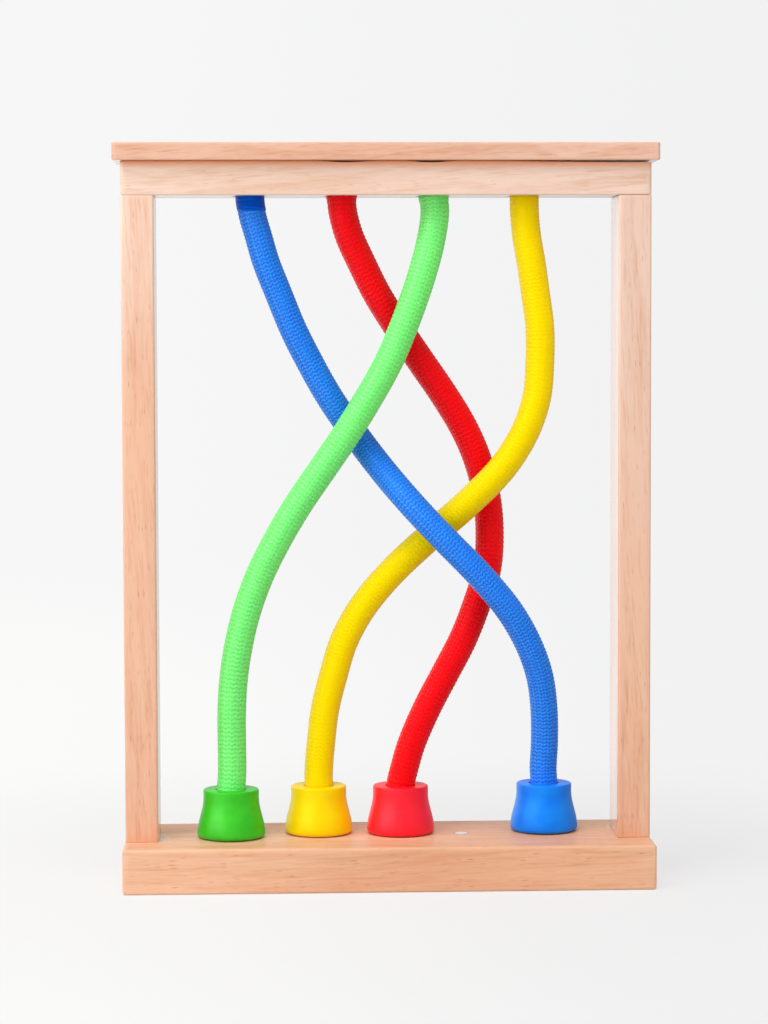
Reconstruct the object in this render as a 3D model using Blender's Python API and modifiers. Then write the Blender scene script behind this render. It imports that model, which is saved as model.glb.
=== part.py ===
# Rope puzzle: a beech frame with four braided ropes that hang from its top rail.
# Each rope ends in a bell-shaped cup, which a magnet holds to a spot on the base board.
# Metres, +Z up, +X to the player's right, +Y to the back.
# The origin is on the underside of the base board, at the middle of its outline.

import math

import bmesh
import bpy
from mathutils import Matrix, Vector
from mathutils.geometry import interpolate_bezier

# Base board
BASE_LENGTH = 0.241
BASE_DEPTH = 0.070
BASE_THICKNESS = 0.0205
BASE_EDGE_RADIUS = 0.0013

# Posts, rail and cap. The posts stand a little in from the base board's ends.
POST_SETBACK = 0.0005
POST_THICKNESS = 0.015
POST_DEPTH = 0.030
POST_LENGTH = 0.2928
RAIL_HEIGHT = 0.0152
CAP_THICKNESS = 0.008
CAP_OVERHANG = 0.0035
STICK_EDGE_RADIUS = 0.0008

# Gaps between pieces that touch on the real object
SEAT_GAP = 0.0003
PEG_CLEARANCE = 0.0002

# Ropes, and the holes in the rail that they hang from
ROPE_DIAMETER = 0.0128
ROPE_COUNT = 4
ROPE_PITCH = 0.0418
ROPE_ROW_SHIFT = 0.0007
ROPE_POINT_SPACING = 0.0165
ROPE_BEVEL_RESOLUTION = 3
ROUTE_CLEARANCE = 0.006
CURVE_STEPS = 12

# Shrunk wrap on each rope's upper end, and the collar that stops it in the rail
WRAP_GAP = 0.0003
WRAP_WALL = 0.0003
WRAP_SHOWING = 0.0065
WRAP_HIDDEN = 0.003
WRAP_BEVEL_RESOLUTION = 8
HOLE_CLEARANCE = 0.0005
COLLAR_WALL = 0.0022
COLLAR_HEIGHT = 0.0046

# Cups
CUP_HEIGHT = 0.022
CUP_TOP_RADIUS = 0.01275
CUP_FOOT_RADIUS = 0.0156
CUP_LIP_RADIUS = 0.0006
CUP_FOOT_ROUNDING = 0.0017
CUP_BORE_CLEARANCE = 0.0005
CUP_BORE_DEPTH = 0.0135
FLARE_TOP = 0.18
FLARE_FOOT = 0.92
FLARE_STEPS = 6
ARC_STEPS = 3
CUP_TURN_STEPS = 32

# Magnets
MAGNET_COUNT = 5
MAGNET_PITCH = 0.0345
MAGNET_ROW_BACK = 0.002
MAGNET_DIAMETER = 0.0064
MAGNET_THICKNESS = 0.003
CUP_MAGNET_DIAMETER = 0.012
CUP_MAGNET_THICKNESS = 0.003
MAGNET_CHAMFER = 0.0003
MAGNET_TURN_STEPS = 20

# Dowels and screws
DOWEL_DIAMETER = 0.006
DOWEL_LENGTH = 0.024
DOWEL_SPACING = 0.018
RAIL_DOWEL_DEPTH = 0.010
CAP_DOWEL_DIAMETER = 0.005
CAP_DOWEL_LENGTH = 0.012
CAP_DOWEL_DEPTH = 0.005
DOWEL_CHAMFER = 0.0006
SCREW_LENGTH = 0.040
SCREW_DIAMETER = 0.0036
SCREW_POINT = 0.004
SCREW_HEAD_DIAMETER = 0.0076
SCREW_HEAD_HEIGHT = 0.0026
SCREW_HEAD_RIM = 0.0005
SCREW_SINK = 0.0006
SCREW_RECESS_DIAMETER = 0.0034
SCREW_RECESS_DEPTH = 0.0018
PEG_TURN_STEPS = 12

CUT_MARGIN = 0.002

# Order of the ropes at the rail, from the left, and the place of each rope's cup
ROPE_COLOURS = ("blue", "red", "green", "yellow")
CUP_PLACES = {
    "green": Vector((-0.0720, -0.0025)),
    "yellow": Vector((-0.0316, 0.0061)),
    "red": Vector((0.0063, 0.0044)),
    "blue": Vector((0.0733, 0.0079)),
}

# The ropes' routes between the rail and the cups, in millimetres
ROPE_ROUTES = {
    "blue": (
        (-61, 0, 307), (-58, 0.5, 296), (-54.5, 1, 284), (-49, 2, 270),
        (-42.5, 3, 254), (-34.5, 4.5, 238), (-25.5, 5, 222), (-14.5, 5, 206),
        (-2.5, 0.5, 190), (11, -8.5, 174), (26, -12, 158), (41.5, -11.5, 142),
        (55, -8.5, 126), (64.5, -4, 110), (70.5, 0.5, 94), (73, 4.5, 78),
        (73.5, 7, 62), (73, 8, 50),
    ),
    "red": (
        (-19.5, 0, 307), (-16.5, 1.5, 296), (-11, 3.5, 284), (-4, 5, 270),
        (6, 7, 254), (17, 9, 238), (28, 11, 222), (37.5, 13.5, 206),
        (44, 15, 190), (47.5, 15, 174), (48.5, 13, 158), (47, 10.5, 142),
        (42, 8.5, 126), (35.5, 7, 110), (27, 6, 94), (18.5, 5, 78),
        (11.5, 4.5, 62), (8, 4.5, 50),
    ),
    "green": (
        (22.5, 0, 307), (21, -1.5, 296), (18, -4, 284), (13.5, -6.5, 270),
        (7.5, -8, 254), (0.5, -8.5, 238), (-8.5, -9, 222), (-18.5, -9, 206),
        (-29.5, -9, 190), (-40.5, -8.5, 174), (-50, -8, 158), (-58, -6.5, 142),
        (-64, -6, 126), (-68, -5, 110), (-70.5, -4, 94), (-71.5, -3.5, 78),
        (-71.5, -2.5, 62), (-71.5, -2.5, 50),
    ),
    "yellow": (
        (63.5, 0, 307), (64.5, 0, 296), (66.5, -0.5, 284), (68.5, -0.5, 270),
        (70.5, -1, 254), (70.5, -1, 238), (69, -1.5, 222), (63.5, -1.5, 206),
        (53.5, -0.5, 190), (38, 1.5, 174), (20, 4, 158), (3, 5.5, 142),
        (-10.5, 6, 126), (-19.5, 6, 110), (-24.5, 6, 94), (-28.5, 6, 78),
        (-30.5, 6, 62), (-31.5, 6, 50),
    ),
}
MILLIMETRE = 0.001

# Heights of the stacked boards, and the width that they share
FRAME_WIDTH = BASE_LENGTH - 2 * POST_SETBACK
BASE_TOP = BASE_THICKNESS
POST_BOTTOM = BASE_TOP + SEAT_GAP
POST_TOP = POST_BOTTOM + POST_LENGTH
RAIL_BOTTOM = POST_TOP + SEAT_GAP
RAIL_TOP = RAIL_BOTTOM + RAIL_HEIGHT
CAP_BOTTOM = RAIL_TOP + SEAT_GAP
POST_X = (FRAME_WIDTH - POST_THICKNESS) / 2

# Radii that follow from the rope
ROPE_RADIUS = ROPE_DIAMETER / 2
WRAP_RADIUS = ROPE_RADIUS + WRAP_GAP + WRAP_WALL
HOLE_RADIUS = WRAP_RADIUS + HOLE_CLEARANCE
COLLAR_BORE_RADIUS = WRAP_RADIUS + PEG_CLEARANCE
COLLAR_RADIUS = COLLAR_BORE_RADIUS + COLLAR_WALL
COLLAR_SEAT_Z = RAIL_TOP - COLLAR_HEIGHT - 2 * SEAT_GAP
ROPE_TOP = RAIL_TOP - SEAT_GAP

# Heights in the cups
CUP_BOTTOM = BASE_TOP + SEAT_GAP
CUP_BORE_RADIUS = ROPE_RADIUS + CUP_BORE_CLEARANCE
ROPE_BOTTOM = CUP_BOTTOM + CUP_HEIGHT - CUP_BORE_DEPTH + SEAT_GAP

# Colours read from the photograph, in linear values
COLOURS = {
    "beech": (0.80, 0.52, 0.36),
    "dowel_beech": (0.74, 0.50, 0.33),
    "nickel": (0.78, 0.77, 0.75),
    "zinc_steel": (0.60, 0.60, 0.58),
    "nylon": (0.75, 0.74, 0.70),
    "blue_rope": (0.012, 0.150, 0.800),
    "red_rope": (0.700, 0.005, 0.008),
    "green_rope": (0.110, 0.750, 0.120),
    "yellow_rope": (1.000, 0.660, 0.004),
    "blue_cup": (0.008, 0.150, 0.870),
    "red_cup": (0.950, 0.030, 0.045),
    "green_cup": (0.045, 0.600, 0.020),
    "yellow_cup": (1.000, 0.660, 0.004),
    "blue_wrap": (0.006, 0.070, 0.430),
    "red_wrap": (0.420, 0.003, 0.005),
    "green_wrap": (0.050, 0.450, 0.060),
    "yellow_wrap": (0.700, 0.420, 0.003),
}


def clear_scene():
    for obj in list(bpy.data.objects):
        bpy.data.objects.remove(obj, do_unlink=True)


def new_collection(name):
    collection = bpy.data.collections.new(name)
    bpy.context.scene.collection.children.link(collection)
    return collection


def finish_material(name, roughness, metallic=0.0):
    material = bpy.data.materials.new(name)
    material.use_nodes = True
    shader = material.node_tree.nodes["Principled BSDF"]
    shader.inputs["Base Color"].default_value = (*COLOURS[name], 1.0)
    shader.inputs["Roughness"].default_value = roughness
    shader.inputs["Metallic"].default_value = metallic
    return material


def add_part(name, data, material):
    obj = bpy.data.objects.new(name, data)
    obj.data.materials.append(material)
    PARTS.objects.link(obj)
    return obj


def board(name, size, centre, edge_radius, material):
    """A sawn board with eased edges, its object's origin at its centre."""
    mesh = bpy.data.meshes.new(name)
    bm = bmesh.new()
    bmesh.ops.create_cube(bm, size=1.0, matrix=Matrix.Diagonal((*size, 1.0)))
    bm.to_mesh(mesh)
    bm.free()
    obj = add_part(name, mesh, material)
    obj.location = centre
    easing = obj.modifiers.new("eased edges", "BEVEL")
    easing.width = edge_radius
    easing.segments = 2
    return obj


def profile_mesh(name, profile, closed=False):
    """The half outline of a turned piece, as (radius, height) pairs, on the XZ plane."""
    mesh = bpy.data.meshes.new(name)
    bm = bmesh.new()
    points = [bm.verts.new((radius, 0.0, height)) for radius, height in profile]
    for upper, lower in zip(points, points[1:]):
        bm.edges.new((upper, lower))
    if closed:
        bm.edges.new((points[-1], points[0]))
    bm.to_mesh(mesh)
    bm.free()
    return mesh


def turn(obj, steps):
    """Spin the object's profile about its own vertical axis."""
    screw = obj.modifiers.new("turned", "SCREW")
    screw.axis = "Z"
    screw.angle = 2 * math.pi
    screw.steps = steps
    screw.render_steps = steps
    screw.use_merge_vertices = True
    screw.merge_threshold = 0.00001
    screw.use_smooth_shade = True


def turned_part(name, profile, place, steps, material, closed=False):
    obj = add_part(name, profile_mesh(name, profile, closed), material)
    obj.location = place
    turn(obj, steps)
    return obj


def turned_cutter(name, profile, place, steps):
    obj = bpy.data.objects.new(name, profile_mesh(name, profile))
    CUTTERS.objects.link(obj)
    obj.location = place
    obj.hide_render = True
    obj.display_type = "WIRE"
    turn(obj, steps)
    return obj


def hole_profile(radius, top, bottom):
    return [(0.0, top), (radius, top), (radius, bottom), (0.0, bottom)]


def cut_hole(obj, name, radius, top, bottom, x, y, steps):
    cut(obj, turned_cutter(name, hole_profile(radius, top, bottom), (x, y, 0.0), steps))


def cut(obj, cutter):
    boolean = obj.modifiers.new(cutter.name, "BOOLEAN")
    boolean.operation = "DIFFERENCE"
    boolean.solver = "EXACT"
    boolean.object = cutter


def arc(centre, radius, start, end):
    """Points of an arc in a profile, with its angles measured from the outward side."""
    angles = [start + (end - start) * i / ARC_STEPS for i in range(ARC_STEPS + 1)]
    return [
        (centre[0] + radius * math.cos(a), centre[1] + radius * math.sin(a)) for a in angles
    ]


def disc_profile(diameter, thickness, chamfer):
    radius = diameter / 2
    return [
        (0.0, thickness),
        (radius - chamfer, thickness),
        (radius, thickness - chamfer),
        (radius, chamfer),
        (radius - chamfer, 0.0),
        (0.0, 0.0),
    ]


def make_frame():
    """Base, posts, rail and cap, with the holes that their fixings and the ropes need."""
    base = board(
        "base_board",
        (BASE_LENGTH, BASE_DEPTH, BASE_THICKNESS),
        (0.0, 0.0, BASE_THICKNESS / 2),
        BASE_EDGE_RADIUS,
        BEECH,
    )
    rail = board(
        "top_rail",
        (FRAME_WIDTH, POST_DEPTH, RAIL_HEIGHT),
        (0.0, 0.0, RAIL_BOTTOM + RAIL_HEIGHT / 2),
        STICK_EDGE_RADIUS,
        BEECH,
    )
    cap = board(
        "cap_board",
        (FRAME_WIDTH + 2 * CAP_OVERHANG, POST_DEPTH + 2 * CAP_OVERHANG, CAP_THICKNESS),
        (0.0, 0.0, CAP_BOTTOM + CAP_THICKNESS / 2),
        STICK_EDGE_RADIUS,
        BEECH,
    )
    for side, sign in (("left", -1), ("right", 1)):
        post = board(
            side + "_post",
            (POST_THICKNESS, POST_DEPTH, POST_LENGTH),
            (sign * POST_X, 0.0, POST_BOTTOM + POST_LENGTH / 2),
            STICK_EDGE_RADIUS,
            BEECH,
        )
        join_post(side, sign * POST_X, post, base, rail)
    join_cap(rail, cap)
    set_base_magnets(base)
    return rail


def join_post(side, x, post, base, rail):
    """Two dowels at each end of a post, and one screw up through the base."""
    dowel = disc_profile(DOWEL_DIAMETER, DOWEL_LENGTH, DOWEL_CHAMFER)
    radius = DOWEL_DIAMETER / 2 + PEG_CLEARANCE
    foot_z = BASE_TOP - DOWEL_LENGTH / 2
    head_z = RAIL_BOTTOM + RAIL_DOWEL_DEPTH - DOWEL_LENGTH
    for depth_name, y in (("front", -DOWEL_SPACING / 2), ("back", DOWEL_SPACING / 2)):
        for end, z, socket in (("foot", foot_z, base), ("head", head_z, rail)):
            name = f"{side}_{end}_dowel_{depth_name}"
            turned_part(name, dowel, (x, y, z), PEG_TURN_STEPS, DOWEL_BEECH)
            for piece in (post, socket):
                hole = f"{name}_hole_in_{piece.name}"
                top = z + DOWEL_LENGTH + SEAT_GAP
                cut_hole(piece, hole, radius, top, z - SEAT_GAP, x, y, PEG_TURN_STEPS)
    drive_screw(side, x, post, base)


def screw_profile(spread, sink):
    """Outline of a countersunk screw, point up, widened by spread for its hole."""
    shank = SCREW_DIAMETER / 2 + spread
    head = SCREW_HEAD_DIAMETER / 2 + spread
    return [
        (0.0, SCREW_LENGTH + spread),
        (shank, SCREW_LENGTH + spread - SCREW_POINT),
        (shank, SCREW_HEAD_HEIGHT),
        (head, SCREW_HEAD_RIM),
        (head, -sink),
    ]


def drive_screw(side, x, post, base):
    recess = SCREW_RECESS_DIAMETER / 2
    profile = screw_profile(0.0, 0.0)
    profile += [(recess, 0.0), (0.0, SCREW_RECESS_DEPTH)]
    place = (x, 0.0, SCREW_SINK)
    turned_part(side + "_post_screw", profile, place, PEG_TURN_STEPS, ZINC_STEEL)
    below = SCREW_SINK + CUT_MARGIN
    hole = screw_profile(PEG_CLEARANCE, below) + [(0.0, -below)]
    cutter = turned_cutter(side + "_screw_hole", hole, place, PEG_TURN_STEPS)
    cut(base, cutter)
    cut(post, cutter)


def join_cap(rail, cap):
    """Short dowels between the rope holes locate the cap on the rail."""
    dowel = disc_profile(CAP_DOWEL_DIAMETER, CAP_DOWEL_LENGTH, DOWEL_CHAMFER)
    radius = CAP_DOWEL_DIAMETER / 2 + PEG_CLEARANCE
    z = CAP_BOTTOM + CAP_DOWEL_DEPTH - CAP_DOWEL_LENGTH
    for number in range(1, ROPE_COUNT):
        x = rope_hole_x(number) - ROPE_PITCH / 2
        name = f"cap_dowel_{number}"
        turned_part(name, dowel, (x, 0.0, z), PEG_TURN_STEPS, DOWEL_BEECH)
        for piece in (rail, cap):
            hole = f"{name}_hole_in_{piece.name}"
            top = z + CAP_DOWEL_LENGTH + SEAT_GAP
            cut_hole(piece, hole, radius, top, z - SEAT_GAP, x, 0.0, PEG_TURN_STEPS)


def set_base_magnets(base):
    """Disc magnets flush in the board's top mark the spots where the cups stand."""
    disc = disc_profile(MAGNET_DIAMETER, MAGNET_THICKNESS, MAGNET_CHAMFER)
    radius = MAGNET_DIAMETER / 2 + PEG_CLEARANCE
    z = BASE_TOP - MAGNET_THICKNESS
    for number in range(MAGNET_COUNT):
        x = (number - (MAGNET_COUNT - 1) / 2) * MAGNET_PITCH
        name = f"base_magnet_{number + 1}"
        turned_part(name, disc, (x, MAGNET_ROW_BACK, z), MAGNET_TURN_STEPS, NICKEL)
        cut_hole(
            base, name + "_pocket", radius, BASE_TOP + CUT_MARGIN, z - SEAT_GAP,
            x, MAGNET_ROW_BACK, MAGNET_TURN_STEPS,
        )


def rope_hole_x(number):
    return ROPE_ROW_SHIFT + (number - (ROPE_COUNT - 1) / 2) * ROPE_PITCH


def smooth_route(points):
    """Points of a smooth curve through the route's own points."""
    line = []
    last = len(points) - 1
    for i in range(last):
        start, end = points[i], points[i + 1]
        before = points[max(i - 1, 0)]
        after = points[min(i + 2, last)]
        reach = (end - start).length / 3
        leave = start + (end - before).normalized() * reach
        arrive = end - (after - start).normalized() * reach
        line += interpolate_bezier(start, leave, arrive, end, CURVE_STEPS)[:-1]
    return line + [points[last]]


def even_points(line, spacing):
    """Points about one spacing apart along a line, with both its ends."""
    total = sum((b - a).length for a, b in zip(line, line[1:]))
    count = max(2, round(total / spacing))
    step = total / count
    picked = [line[0]]
    walked = 0.0
    for start, end in zip(line, line[1:]):
        length = (end - start).length
        while len(picked) < count and walked + length >= step * len(picked):
            picked.append(start.lerp(end, (step * len(picked) - walked) / length))
        walked += length
    return picked + [line[-1]]


def rope_line(colour, hole_x):
    """Centre line of a rope, from its end under the cap to its end in the cup."""
    cup_x, cup_y = CUP_PLACES[colour]
    cup_top = CUP_BOTTOM + CUP_HEIGHT
    top = [
        Vector((hole_x, 0.0, ROPE_TOP)),
        Vector((hole_x, 0.0, COLLAR_SEAT_Z)),
        Vector((hole_x, 0.0, RAIL_BOTTOM + WRAP_HIDDEN)),
    ]
    bottom = [
        Vector((cup_x, cup_y, cup_top)),
        Vector((cup_x, cup_y, (cup_top + ROPE_BOTTOM) / 2)),
        Vector((cup_x, cup_y, ROPE_BOTTOM)),
    ]
    free = [Vector(point) * MILLIMETRE for point in ROPE_ROUTES[colour]]
    low, high = cup_top + ROUTE_CLEARANCE, RAIL_BOTTOM - ROUTE_CLEARANCE
    hanging = [point for point in free if low < point.z < high]
    curve = smooth_route(top + hanging + bottom)
    # The first stretch, inside the collar, is straight and needs no points between its ends.
    return curve[:1] + even_points(curve[CURVE_STEPS - 1:], ROPE_POINT_SPACING)


def tube_curve(name, line, radius, resolution, capped):
    curve = bpy.data.curves.new(name, "CURVE")
    curve.dimensions = "3D"
    curve.bevel_depth = radius
    curve.bevel_resolution = resolution
    curve.use_fill_caps = capped
    spline = curve.splines.new("POLY")
    spline.points.add(len(line) - 1)
    for point, place in zip(spline.points, line):
        point.co = (*place, 1.0)
        point.radius = 1.0
    spline.use_smooth = True
    return curve


def line_above(line, height):
    """The stretch of a falling line that lies above a height."""
    kept = []
    for start, end in zip(line, line[1:]):
        kept.append(start)
        if end.z < height:
            kept.append(start.lerp(end, (start.z - height) / (start.z - end.z)))
            break
    return kept


def make_wrap(colour, line, lower_end, material):
    """A thin shrunk sleeve round the rope's upper end, open at both its ends."""
    name = colour + "_end_wrap"
    inner = ROPE_RADIUS + WRAP_GAP
    stretch = line_above(line, lower_end)
    curve = tube_curve(name, stretch, inner, WRAP_BEVEL_RESOLUTION, False)
    guide = bpy.data.objects.new(name + "_guide", curve)
    CUTTERS.objects.link(guide)
    bpy.context.view_layer.update()
    evaluated = guide.evaluated_get(bpy.context.evaluated_depsgraph_get())
    mesh = bpy.data.meshes.new_from_object(evaluated)
    bpy.data.objects.remove(guide, do_unlink=True)
    mesh.name = name
    mesh.materials.clear()
    mesh.shade_smooth()
    obj = add_part(name, mesh, material)
    wall = obj.modifiers.new("wall", "SOLIDIFY")
    wall.thickness = WRAP_WALL
    wall.offset = 1.0


def make_collar(colour, hole_x):
    """A ring clamped on the rope's end, trapped under the cap in a counterbore."""
    profile = [
        (COLLAR_RADIUS, COLLAR_HEIGHT),
        (COLLAR_RADIUS, 0.0),
        (COLLAR_BORE_RADIUS, 0.0),
        (COLLAR_BORE_RADIUS, COLLAR_HEIGHT),
    ]
    place = (hole_x, 0.0, COLLAR_SEAT_Z + SEAT_GAP)
    turned_part(colour + "_stop_collar", profile, place, MAGNET_TURN_STEPS, NYLON, closed=True)


def hang_rope(colour, number, rail):
    """A rope with its wrap and collar, and the stepped hole that it hangs in."""
    x = rope_hole_x(number)
    line = rope_line(colour, x)
    rope = tube_curve(colour + "_rope", line, ROPE_RADIUS, ROPE_BEVEL_RESOLUTION, True)
    add_part(colour + "_rope", rope, finish_material(colour + "_rope", 0.85))
    wrap_end = RAIL_BOTTOM - WRAP_SHOWING if colour == "blue" else RAIL_BOTTOM + WRAP_HIDDEN
    make_wrap(colour, line, wrap_end, finish_material(colour + "_wrap", 0.55))
    make_collar(colour, x)
    seat_radius = COLLAR_RADIUS + PEG_CLEARANCE
    above = RAIL_TOP + CUT_MARGIN
    below = RAIL_BOTTOM - CUT_MARGIN
    stepped = [
        (0.0, above),
        (seat_radius, above),
        (seat_radius, COLLAR_SEAT_Z),
        (HOLE_RADIUS, COLLAR_SEAT_Z),
        (HOLE_RADIUS, below),
        (0.0, below),
    ]
    cut(rail, turned_cutter(colour + "_rope_hole", stepped, (x, 0.0, 0.0), CUP_TURN_STEPS))


def cup_flare(share):
    """Outer radius of a cup at a share of its height, counted down from its top."""
    along = min(max((share - FLARE_TOP) / (FLARE_FOOT - FLARE_TOP), 0.0), 1.0)
    ease = along * along * (3 - 2 * along)
    return CUP_TOP_RADIUS + (CUP_FOOT_RADIUS - CUP_TOP_RADIUS) * ease


def cup_profile():
    """Outline of a cup: the rope's bore, the lip, the flared side and the magnet's pocket."""
    bore_floor = CUP_HEIGHT - CUP_BORE_DEPTH
    pocket_radius = CUP_MAGNET_DIAMETER / 2 + PEG_CLEARANCE
    pocket_top = CUP_MAGNET_THICKNESS + SEAT_GAP
    lip = (CUP_TOP_RADIUS - CUP_LIP_RADIUS, CUP_HEIGHT - CUP_LIP_RADIUS)
    foot = (CUP_FOOT_RADIUS - CUP_FOOT_ROUNDING, CUP_FOOT_ROUNDING)
    profile = [
        (0.0, bore_floor),
        (CUP_BORE_RADIUS, bore_floor),
        (CUP_BORE_RADIUS, CUP_HEIGHT),
    ]
    profile += arc(lip, CUP_LIP_RADIUS, math.pi / 2, 0.0)
    for i in range(FLARE_STEPS):
        share = FLARE_TOP + (FLARE_FOOT - FLARE_TOP) * i / FLARE_STEPS
        profile.append((cup_flare(share), CUP_HEIGHT * (1 - share)))
    profile += arc(foot, CUP_FOOT_ROUNDING, 0.0, -math.pi / 2)
    profile += [(pocket_radius, 0.0), (pocket_radius, pocket_top), (0.0, pocket_top)]
    return profile


def make_cup(colour):
    """A cup with its magnet. The cup's origin is on the line that it lifts along."""
    x, y = CUP_PLACES[colour]
    finish = finish_material(colour + "_cup", 0.42)
    place = (x, y, CUP_BOTTOM)
    turned_part(colour + "_cup", cup_profile(), place, CUP_TURN_STEPS, finish)
    disc = disc_profile(CUP_MAGNET_DIAMETER, CUP_MAGNET_THICKNESS, MAGNET_CHAMFER)
    turned_part(colour + "_cup_magnet", disc, place, MAGNET_TURN_STEPS, NICKEL)


clear_scene()
PARTS = new_collection("rope_puzzle")
CUTTERS = new_collection("cutters")
BEECH = finish_material("beech", 0.55)
DOWEL_BEECH = finish_material("dowel_beech", 0.70)
NICKEL = finish_material("nickel", 0.25, 1.0)
ZINC_STEEL = finish_material("zinc_steel", 0.35, 1.0)
NYLON = finish_material("nylon", 0.60)

top_rail = make_frame()
for rope_number, rope_colour in enumerate(ROPE_COLOURS):
    hang_rope(rope_colour, rope_number, top_rail)
    make_cup(rope_colour)
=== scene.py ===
# Rope puzzle: a beech frame with four braided ropes, each glued into a bell-shaped cup.
# The looks of every piece, in the order in which the toy is put together.
import bisect
import math

import bmesh
import bpy
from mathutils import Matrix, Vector, noise
from mathutils.geometry import interpolate_bezier


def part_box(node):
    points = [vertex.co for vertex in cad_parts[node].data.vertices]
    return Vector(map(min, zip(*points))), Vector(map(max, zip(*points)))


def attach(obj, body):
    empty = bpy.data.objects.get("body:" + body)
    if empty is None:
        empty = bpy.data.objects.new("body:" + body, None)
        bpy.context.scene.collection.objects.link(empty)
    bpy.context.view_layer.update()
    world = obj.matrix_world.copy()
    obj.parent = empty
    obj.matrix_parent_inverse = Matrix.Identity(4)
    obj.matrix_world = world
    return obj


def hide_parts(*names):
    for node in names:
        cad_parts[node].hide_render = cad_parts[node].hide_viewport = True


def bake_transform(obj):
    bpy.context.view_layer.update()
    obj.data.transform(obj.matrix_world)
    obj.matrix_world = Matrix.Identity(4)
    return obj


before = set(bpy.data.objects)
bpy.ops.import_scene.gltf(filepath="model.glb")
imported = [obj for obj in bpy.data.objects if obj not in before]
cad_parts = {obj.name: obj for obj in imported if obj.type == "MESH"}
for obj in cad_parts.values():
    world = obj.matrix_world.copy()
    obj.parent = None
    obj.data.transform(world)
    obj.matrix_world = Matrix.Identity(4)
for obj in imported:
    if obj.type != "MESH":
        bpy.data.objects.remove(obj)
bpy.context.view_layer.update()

# Base board
# A planed beech board, its edges eased with sandpaper, that carries the whole toy.
# Five shallow pockets in its top hold magnets, and two countersunk holes take the post screws.
# Glue pressed out of the posts' joints has dried on its top in two pale smears.
BASE_EASING = 0.0013
EASING_STEPS = 5
SANDED_BAND = 0.0016
BOARD_SIDES = 6
LEVEL_ENOUGH = 0.9
WELD = 0.000002
SHARP_ANGLE = math.radians(40)
MAGNET_NUMBERS = range(1, 6)
POCKET_CLEARANCE = 0.0002
SCREW_HOLE_MOUTH = 0.0041
SCREW_HOLE_SHANK = 0.0021
SCREW_HOLE_CONE = 0.0032
SCREW_HOLE_SINK = SCREW_HOLE_CONE / 3
CUT_MARGIN = 0.002
HOLE_STEPS = 48
BASE_PALE = ((246, 197, 164), (237, 188, 154))
BASE_WARM = ((230, 167, 129), (224, 162, 125))
BASE_FADE = (-0.11, 0.0)
BASE_PITH = (0.39, 0.045, -0.052)
BASE_SLOPE = 0.03
BASE_LACQUER = 0.08
BEECH_FLECK = (186, 108, 66)
FAINT_FLECK = (214, 152, 116)
FLECK_SHARE = 0.55
# Share of pale wood mixed onto the rounded edges.
EASED_SHARE = 0.4
RING_WIDTH = 0.0068
LATE_WOOD_RISE = 1.6
LATE_WOOD_END = (0.82, 1.0)
STRAND_SPAN = (0.50, 0.72)
FLECKS_KEPT = (1.0, 1.3)
FLECK_EDGE = (0.10, 0.42)
GRAIN_DRIFT = (0.0, 0.030, 0.030)
WOOD_RELIEF = 0.00004
COAT_ROUGHNESS = 0.10
# How much each feature warms, roughens or raises the wood. A second number is the level it starts from.
RING_WARMTH = (0.40, 0.28)
TONE_WARMTH = (2.0, -1.0)
STRAND_WARMTH = (0.45, -0.1)
FIBRE_WARMTH = (1.1, -0.55)
FIBRE_ROUGHNESS = (0.2, 0.30)
FLECK_ROUGHNESS = 0.1
EASED_SMOOTHNESS = 0.06
PORE_HEIGHT = 0.4
FIBRE_HEIGHT = 0.6
FLECK_SINK = 0.5
# Waves per metre, along the grain and across it.
DRIFT_WAVES = (9.0, 26.0, 26.0)
TONE_WAVES = (8.0, 40.0, 40.0)
FIBRE_WAVES = (44.0, 1300.0, 1300.0)
STRAND_WAVES = (45.0, 900.0, 900.0)
PORE_WAVES = (300.0, 5200.0, 5200.0)
FLECK_WAVES = (170.0, 1250.0, 1250.0)
GLUE_PALE = (240, 220, 208)
# Each smear's middle, then half its width and half its length.
GLUE_SMEARS = ((-0.1028, -0.0030, 0.0038, 0.0130), (0.1044, 0.0140, 0.0016, 0.0090))
GLUE_DEPTH = 0.0010
GLUE_WAVES = (520.0, 260.0, 260.0)
GLUE_COVER = (0.32, 0.58)
GLUE_EDGE = (0.4, 1.0)


def paint(red, green, blue):
    """A colour as it looks on a screen, from 0 to 255, turned into the linear values of light."""
    linear = []
    for level in (red, green, blue):
        share = level / 255
        linear.append(share / 12.92 if share <= 0.04045 else ((share + 0.055) / 1.055) ** 2.4)
    return (*linear, 1.0)


def feed(tree, socket, value):
    """Joins a socket to another one, or sets its value."""
    if isinstance(value, bpy.types.NodeSocket):
        tree.links.new(value, socket)
    else:
        socket.default_value = value


def sum_of(tree, operation, *values, clamp=False):
    """The result of a sum on numbers."""
    node = tree.nodes.new("ShaderNodeMath")
    node.operation = operation
    node.use_clamp = clamp
    for socket, value in zip(node.inputs, values):
        feed(tree, socket, value)
    return node.outputs["Value"]


def vector_of(tree, operation, *values):
    """The result of a sum on vectors."""
    node = tree.nodes.new("ShaderNodeVectorMath")
    node.operation = operation
    for socket, value in zip(node.inputs, values):
        feed(tree, socket, value)
    return node.outputs["Value" if operation == "LENGTH" else "Vector"]


def object_place(tree):
    """The place of a point in its own object, in metres."""
    return tree.nodes.new("ShaderNodeTexCoord").outputs["Object"]


def axes_of(tree, vector):
    """A vector's three numbers, named X, Y and Z."""
    node = tree.nodes.new("ShaderNodeSeparateXYZ")
    tree.links.new(vector, node.inputs["Vector"])
    return node.outputs


def tint(tree, share, first, second, blend="MIX"):
    """A mix of two colours."""
    node = tree.nodes.new("ShaderNodeMix")
    node.data_type = "RGBA"
    node.blend_type = blend
    feed(tree, node.inputs[0], share)
    feed(tree, node.inputs[6], first)
    feed(tree, node.inputs[7], second)
    return node.outputs[2]


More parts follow.
